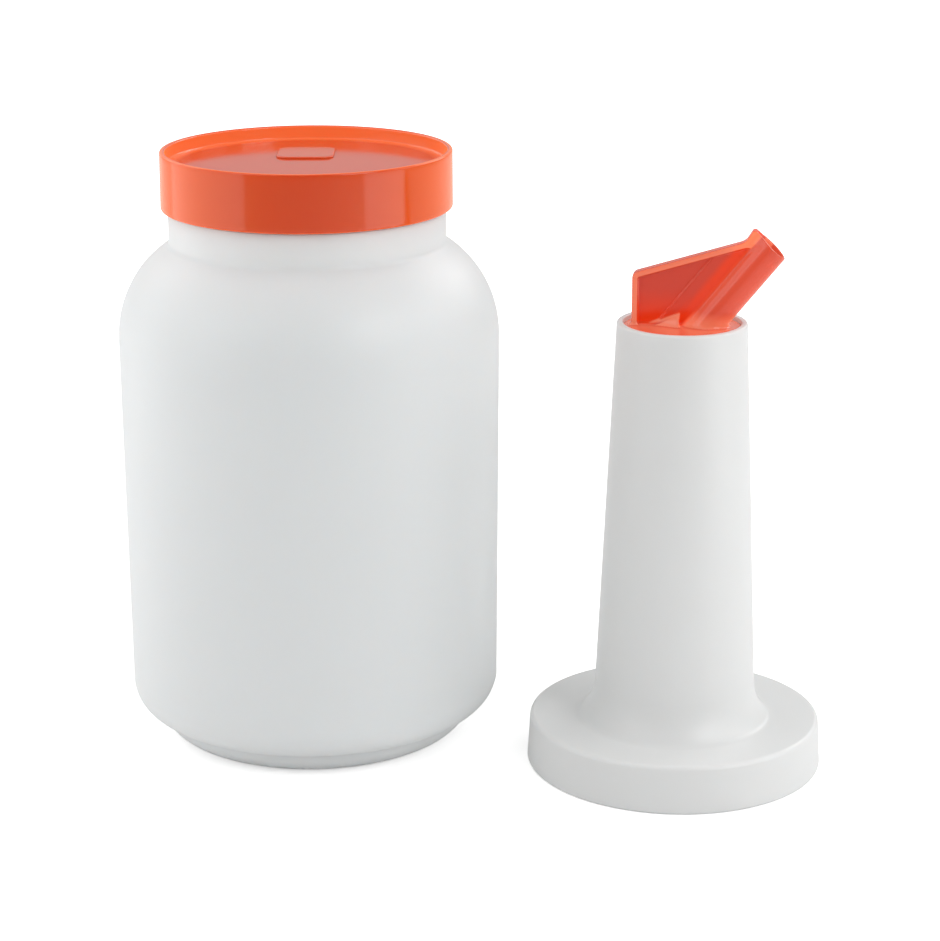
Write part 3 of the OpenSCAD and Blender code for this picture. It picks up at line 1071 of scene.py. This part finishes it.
    def value(self, u: Array, v: Array, z: Array) -> Array:
        """Signed distance to the spout.

        Args:
            u: Coordinates along the fin.
            v: Coordinates across it.
            z: Heights.

        Returns:
            Distances, negative inside the plastic.
        """
        _, towards_fin = self.along_tube(u, z)
        from_axis = np.sqrt(towards_fin**2 + v * v)
        out = np.sqrt(u * u + v * v)
        crest = smooth_step(z, self.disc_z + 22.0, self.disc_z + 27.0)
        web_flat = in_plan(self.web(), u, z)
        rail = plate(in_plan(self.rail(), u, z), v, self.rail_half, 0.35)
        fin = filleted(plate(web_flat, v, self.web_half, 0.2), rail, 0.5)
        rib_flat = np.maximum(np.abs(towards_fin - self.rib_shift) - self.rib_half_w, web_flat)
        fin = filleted(fin, plate(rib_flat, v, self.rib_half_t, 0.4), 0.4)
        fin = filleted(fin, from_axis - self.tube_r, 0.8 + 1.6 * crest)
        span = (u - self.gusset_left) / (self.gusset_right - self.gusset_left)
        cone = np.sqrt(v * v + (z - self.disc_z) ** 2) - self.gusset_r * np.clip(span, 0.05, 1.0)
        cone = rounded_common(cone, np.maximum(self.gusset_left - u, u - self.gusset_right), 0.3)
        fin = filleted(fin, cone, 0.3)
        fin = np.maximum(fin, self.disc_z - self.disc_t / 2 - z)
        disc = plate(out - self.disc_r, z - self.disc_z + self.disc_t / 2, self.disc_t / 2, 0.3)
        body = filleted(disc, fin, 1.5 * smooth_step(z, self.disc_z - 0.8, self.disc_z))
        body = np.minimum(body, self.plug(u, v, z))
        rise = math.radians(self.lean - self.mouth_slant)
        beyond = self.tube_len * math.cos(math.radians(self.mouth_slant))
        past = (u - self.tube_u) * math.cos(rise) + (z - self.disc_z) * math.sin(rise) - beyond
        body = rounded_common(body, past, 0.25)
        body = rounded_common(body, -self.recess(towards_fin, v, past), 0.2)
        body = rounded_common(body, self.bore_r - from_axis, 0.25)
        vent = np.sqrt((towards_fin - self.vent_shift) ** 2 + v * v)
        return rounded_common(body, self.vent_r - vent, 0.1)

    def light(self, u: Array, v: Array, z: Array) -> tuple[Array, Array]:
        """Painted light standing for light that comes through the plastic: deep red in the thin web, paler
        on thick and broad faces.

        Args:
            u: Coordinates along the fin.
            v: Coordinates across it.
            z: Heights.

        Returns:
            Colours of the painted light, one row for each point, and values that are 0 where the painted
            glow colour replaces the plastic's own.
        """
        # Each mask paints light: a deep red glow in the thin web beside and under the tube, a paler glow on
        # the rail, crest, disc, tube foot, mouth and gusset; the web and the back of the fin take the
        # painted glow colour.
        along, towards_fin = self.along_tube(u, z)
        from_axis, above, side = np.sqrt(towards_fin**2 + v * v), z - self.disc_z, np.abs(v)
        standing = above > 0.3
        past_tube = smooth_step(towards_fin, self.tube_r - 0.5, self.tube_r + 0.5) * standing
        on_tube = 1.0 - smooth_step(from_axis, self.tube_r + 0.3, self.tube_r + 1.5)
        span = np.clip((u - self.gusset_left) / (self.gusset_right - self.gusset_left), 0.05, 1.0)
        off_cone = np.hypot(v, above) - self.gusset_r * span
        on_gusset = (1.0 - smooth_step(off_cone, 0.1, 0.5)) * (u < self.gusset_right + 0.3)
        on_gusset *= smooth_step(above / (self.gusset_r * span), 0.35, 0.9)
        beside = 1.0 - smooth_step(np.abs(towards_fin - self.tube_r - 1.5), 0.8, 3.4)
        low = 1.0 - smooth_step(above, 2.0, 13.0)
        wide = side - 1.5 * beside
        web = np.maximum(beside, low) * past_tube * (1.0 - smooth_step(wide, 1.3, 2.0)) * (1.0 - on_gusset)
        ridge = np.maximum(z - self.fin_top(u) + 0.9, self.fin_left + 0.5 - u)
        back = smooth_step(ridge, 0.0, 0.4) * (1.0 - smooth_step(side, 1.9, 2.25)) * standing
        crest = smooth_step(above, 23.0, 27.0)
        rail = (self.rail_light + self.crest_light * crest) * smooth_step(side, 2.1, 2.3) * past_tube
        disc = self.disc_light * (np.abs(above) < 0.5)
        foot = self.foot_light * (1.0 - smooth_step(above, 1.0, 7.0)) * on_tube * standing
        in_bore = 1.0 - smooth_step(from_axis, self.bore_r + 0.1, self.bore_r + 0.4)
        mouth = self.mouth_light * in_bore * (along > 0.0)
        tube = self.tube_light * on_tube * standing
        broad = np.maximum.reduce([rail, disc, tube, foot, mouth, self.gusset_light * on_gusset])
        light = np.outer(broad, self.broad_light) + np.outer(web, self.web_light)
        return light, 1.0 - np.maximum(web, back * (1.0 - crest))


class SurfaceNet:
    """A mesh pulled over the zero level of a distance field."""

    def __init__(self, value: Callable[..., Array], low: Place, high: Place, step: float) -> None:
        """Finds the cells that the surface passes through and puts one point in each.

        Args:
            value: The field, which takes three broadcastable arrays.
            low: Lowest corner of the grid.
            high: Highest corner of the grid.
            step: Width of a cell.
        """
        self.value = value
        axes = [np.arange(a, b + step, step) for a, b in zip(low, high)]
        grid = value(*np.ix_(*axes)).astype(np.float32)
        inside = grid < 0
        shape = tuple(n - 1 for n in grid.shape)
        corners = [(i, j, k) for i in (0, 1) for j in (0, 1) for k in (0, 1)]
        cut = [inside[c[0]: shape[0] + c[0], c[1]: shape[1] + c[1], c[2]: shape[2] + c[2]] for c in corners]
        mixed = np.any(cut, 0) & ~np.all(cut, 0)
        cells = np.argwhere(mixed)
        index = np.full(shape, -1)
        index[mixed] = np.arange(len(cells))
        total, hits = np.zeros((len(cells), 3)), np.zeros(len(cells))
        for axis in range(3):
            for corner in (c for c in corners if c[axis] == 0):
                a = cells + corner
                b = a.copy()
                b[:, axis] += 1
                va, vb = grid[tuple(a.T)], grid[tuple(b.T)]
                crosses = (va < 0) != (vb < 0)
                spot = a[crosses].astype(float)
                spot[:, axis] += va[crosses] / (va[crosses] - vb[crosses])
                total[crosses] += spot
                hits[crosses] += 1
        self.points = np.array(low, float) + step * total / hits[:, None]
        self.faces = self._quads(inside, index)
        self._settle(step)

    @staticmethod
    def _quads(inside: Array, index: Array) -> Array:
        """Joins the points of the four cells round each edge of the grid that the surface cuts.

        Args:
            inside: Which grid points lie in the solid.
            index: Number of the point in each cell.

        Returns:
            The four-sided faces, facing out.
        """
        quads = []
        for axis in range(3):
            first, second = (axis + 1) % 3, (axis + 2) % 3
            here = [slice(1, -1)] * 3
            here[axis] = slice(0, -1)
            there = list(here)
            there[axis] = slice(1, None)
            a, b = inside[tuple(here)], inside[tuple(there)]
            for leaving in (True, False):
                spots = np.argwhere((a & ~b) if leaving else (b & ~a))
                spots[:, first] += 1
                spots[:, second] += 1
                back1, back2 = spots.copy(), spots.copy()
                back1[:, first] -= 1
                back2[:, second] -= 1
                both = back1.copy()
                both[:, second] -= 1
                ring = [index[tuple(p.T)] for p in (spots, back1, both, back2)]
                quads.append(np.stack(ring if leaving else ring[::-1], 1))
        return np.vstack(quads)

    def _settle(self, step: float, rounds: int = 4) -> None:
        """Moves the points onto the field's zero level.

        Args:
            step: Width of a cell, which limits each move.
            rounds: Number of moves.
        """
        small, flattest = 0.02, 0.3
        for _ in range(rounds):
            u, v, z = self.points.T
            slope = np.stack([
                self.value(u + small, v, z) - self.value(u - small, v, z),
                self.value(u, v + small, z) - self.value(u, v - small, z),
                self.value(u, v, z + small) - self.value(u, v, z - small),
            ], 1) / (2 * small)
            size = np.maximum(np.sum(slope**2, 1), flattest)
            move = (self.value(u, v, z) / size)[:, None] * slope
            self.points -= np.clip(move, -step / 2, step / 2)


@dataclass
class Spout:
    """Turning spout: a disc on a plug, the pour tube, and the grip fin behind it."""

    turn: float = -8.0
    disc_drop: float = 1.3
    cell: float = 0.3
    reach: float = 34.0
    margin: float = 1.0

    def build(self) -> Piece:
        """Builds the spout in the neck's top.

        Returns:
            The spout's piece.
        """
        axis = middle("neck")
        shape = SpoutShape(disc_z=top("neck") - self.disc_drop)
        lowest = shape.disc_z - shape.disc_t - shape.plug_len - self.margin
        across = shape.disc_r + self.margin
        highest = shape.disc_z + shape.crest_rise + self.margin
        net = SurfaceNet(shape.value, (-across, -across, lowest), (self.reach, across, highest), self.cell)
        cos, sin = math.cos(math.radians(self.turn)), math.sin(math.radians(self.turn))
        u, v, z = net.points.T
        draft = Draft()
        draft.add(np.stack([axis[0] + u * cos - v * sin, axis[1] + u * sin + v * cos, z], 1), net.faces)
        piece = draft.build("fin_spout")
        paint(piece, *shape.light(u, v, z))
        return dress(piece, "spout", Slot.SPOUT, SPOUT_PLASTIC, "spout")


@dataclass
class Seals:
    """The sealing disc, the gasket and the ring, which keep their CAD shapes."""

    liner: Plastic = LINER_FOAM
    rubber: Plastic = SEAL_RUBBER

    def build(self, nodes: dict[str, Piece]) -> None:
        """Gives the three nodes their materials.

        Args:
            nodes: CAD nodes by name.
        """
        finishes = {"lid_liner": self.liner, "neck_gasket": self.rubber, "spout_seal_ring": self.rubber}
        for name, finish in finishes.items():
            piece = nodes[name]
            piece.data.materials.clear()
            piece.data.materials.append(finish.material())
            piece.data.shade_smooth()
            LOG.info("%s: CAD node with finish %s", name, finish.name)


@dataclass(frozen=True)
class Lamp:
    """A soft box: where it hangs, where it points, how large and how strong it is."""

    name: str
    place: Place
    aim: Place
    width: float
    height: float
    power: float

    @classmethod
    def overhead(cls, name: str, azimuth: float, power: float) -> "Lamp":
        """Makes one of the boxes that hang in a ring over the set, each facing down to it.

        Args:
            name: Name of the light.
            azimuth: Degrees from the camera's side of the set, towards its right.
            power: Power, in watts.

        Returns:
            The light's description.
        """
        side, up, away, width = math.radians(azimuth), math.radians(35), 1.5, 0.7
        out = away * math.cos(up)
        place = (out * math.sin(side), -out * math.cos(side), away * math.sin(up))
        return cls(name, place, (0.0, 0.0, 0.08), width, width, power)

    def build(self) -> Piece:
        """Makes the area light.

        Returns:
            The light, unseen by the camera.
        """
        data = bpy.data.lights.new(self.name, "AREA")
        data.shape, data.size, data.size_y = "RECTANGLE", self.width, self.height
        data.energy = self.power
        lamp = bpy.data.objects.new(self.name, data)
        bpy.context.scene.collection.objects.link(lamp)
        lamp.location = self.place
        lamp.rotation_euler = (Vector(self.aim) - Vector(self.place)).to_track_quat("-Z", "Y").to_euler()
        lamp.visible_camera = False
        return lamp


@dataclass
class Studio:
    """Pale floor, soft light and the camera, in metres."""

    camera_y: float = -0.82409
    camera_z: float = 0.33722
    pitch: float = 16.689
    roll: float = -0.086
    lens: float = 101.08
    sensor: float = 36.0
    floor_half: float = 6.0
    floor_white: float = 0.88
    floor_lift: float = 0.5
    lift_from: float = 0.25
    lift_to: float = 0.9
    ambient: float = 0.25
    lamps: tuple[Lamp, ...] = (
        Lamp.overhead("key_right", 45, 6.3),
        Lamp.overhead("side_right", 90, 3.0),
        Lamp.overhead("rim_right", 135, 4.7),
        Lamp.overhead("rim_left", 225, 2.0),
        Lamp.overhead("fill_left", 315, 1.4),
        Lamp("ceiling", (0.0, 0.0, 1.3), (0.0, 0.0, 0.0), 1.4, 1.4, 4.8),
        Lamp("left_panel", (-0.45, -0.075, 0.4), (0.0, -0.075, 0.4), 0.65, 0.8, 1.75),
        Lamp("left_back_panel", (-0.45, 0.72, 0.4), (0.0, 0.72, 0.4), 0.94, 0.8, 0.6),
        Lamp("backdrop", (0.0, 1.3, 0.5), (0.0, 0.0, 0.5), 1.8, 0.9, 1.5),
        Lamp("right_panel", (0.36, -0.217, 0.11), (0.0, -0.217, 0.11), 0.314, 0.18, 0.2),
    )

    def camera(self) -> None:
        """Places the camera in front of the set and a little above it."""
        data = bpy.data.cameras.new("photo_camera")
        data.lens, data.sensor_width = self.lens, self.sensor
        data.clip_start, data.clip_end = 0.01, 50.0
        camera = bpy.data.objects.new("photo_camera", data)
        bpy.context.scene.collection.objects.link(camera)
        tilt = Matrix.Rotation(math.radians(90 - self.pitch), 4, "X")
        roll = Matrix.Rotation(math.radians(self.roll), 4, "Z")
        camera.matrix_world = Matrix.Translation((0.0, self.camera_y, self.camera_z)) @ tilt @ roll
        bpy.context.scene.camera = camera

    def floor(self) -> None:
        """Makes the wide pale floor."""
        h = self.floor_half
        mesh = bpy.data.meshes.new("floor")
        mesh.from_pydata([(-h, -h, 0), (h, -h, 0), (h, h, 0), (-h, h, 0)], [], [(0, 1, 2, 3)])
        floor = bpy.data.objects.new("floor", mesh)
        bpy.context.scene.collection.objects.link(floor)
        material = bpy.data.materials.new("pale_floor")
        material.use_nodes = True
        nodes, links = material.node_tree.nodes, material.node_tree.links
        shader = nodes["Principled BSDF"]
        shader.inputs["Base Color"].default_value = (*[self.floor_white] * 3, 1)
        shader.inputs["Roughness"].default_value = 0.8
        shader.inputs["Emission Color"].default_value = (1, 1, 1, 1)
        path = nodes.new("ShaderNodeLightPath")
        place = nodes.new("ShaderNodeTexCoord")
        away = nodes.new("ShaderNodeVectorMath")
        away.operation = "LENGTH"
        links.new(place.outputs["Object"], away.inputs[0])
        amount = nodes.new("ShaderNodeMapRange")
        amount.interpolation_type = "SMOOTHSTEP"
        amount.inputs["From Min"].default_value = self.lift_from
        amount.inputs["From Max"].default_value = self.lift_to
        amount.inputs["To Min"].default_value = self.floor_lift
        links.new(away.outputs["Value"], amount.inputs["Value"])
        lift = nodes.new("ShaderNodeMath")
        lift.operation = "MULTIPLY"
        links.new(amount.outputs["Result"], lift.inputs[1])
        links.new(path.outputs["Is Camera Ray"], lift.inputs[0])
        links.new(lift.outputs[0], shader.inputs["Emission Strength"])
        mesh.materials.append(material)

    def world(self) -> None:
        """Surrounds the set with an even pale light, white behind everything."""
        world = bpy.data.worlds.new("studio")
        bpy.context.scene.world = world
        world.use_nodes = True
        nodes, links = world.node_tree.nodes, world.node_tree.links
        back = nodes["Background"]
        back.inputs["Color"].default_value = (1, 1, 1, 1)
        path = nodes.new("ShaderNodeLightPath")
        amount = nodes.new("ShaderNodeMix")
        amount.inputs["A"].default_value, amount.inputs["B"].default_value = self.ambient, 1.0
        links.new(path.outputs["Is Camera Ray"], amount.inputs["Factor"])
        links.new(amount.outputs["Result"], back.inputs["Strength"])

    def build(self) -> None:
        """Builds the whole studio."""
        scene = bpy.context.scene
        scene.view_settings.view_transform = "Standard"
        scene.cycles.use_denoising = True
        self.camera()
        self.floor()
        self.world()
        for lamp in self.lamps:
            lamp.build()


def main() -> None:
    """Loads the frame, dresses each piece and sets the studio round it."""
    logging.basicConfig(level=logging.INFO, format="%(message)s")
    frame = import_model()
    Studio().build()
    Jar().build()
    Lid().build()
    PouringNeck().build()
    Spout().build()
    Seals().build(frame["nodes"])


if __name__ == "__main__":
    main()
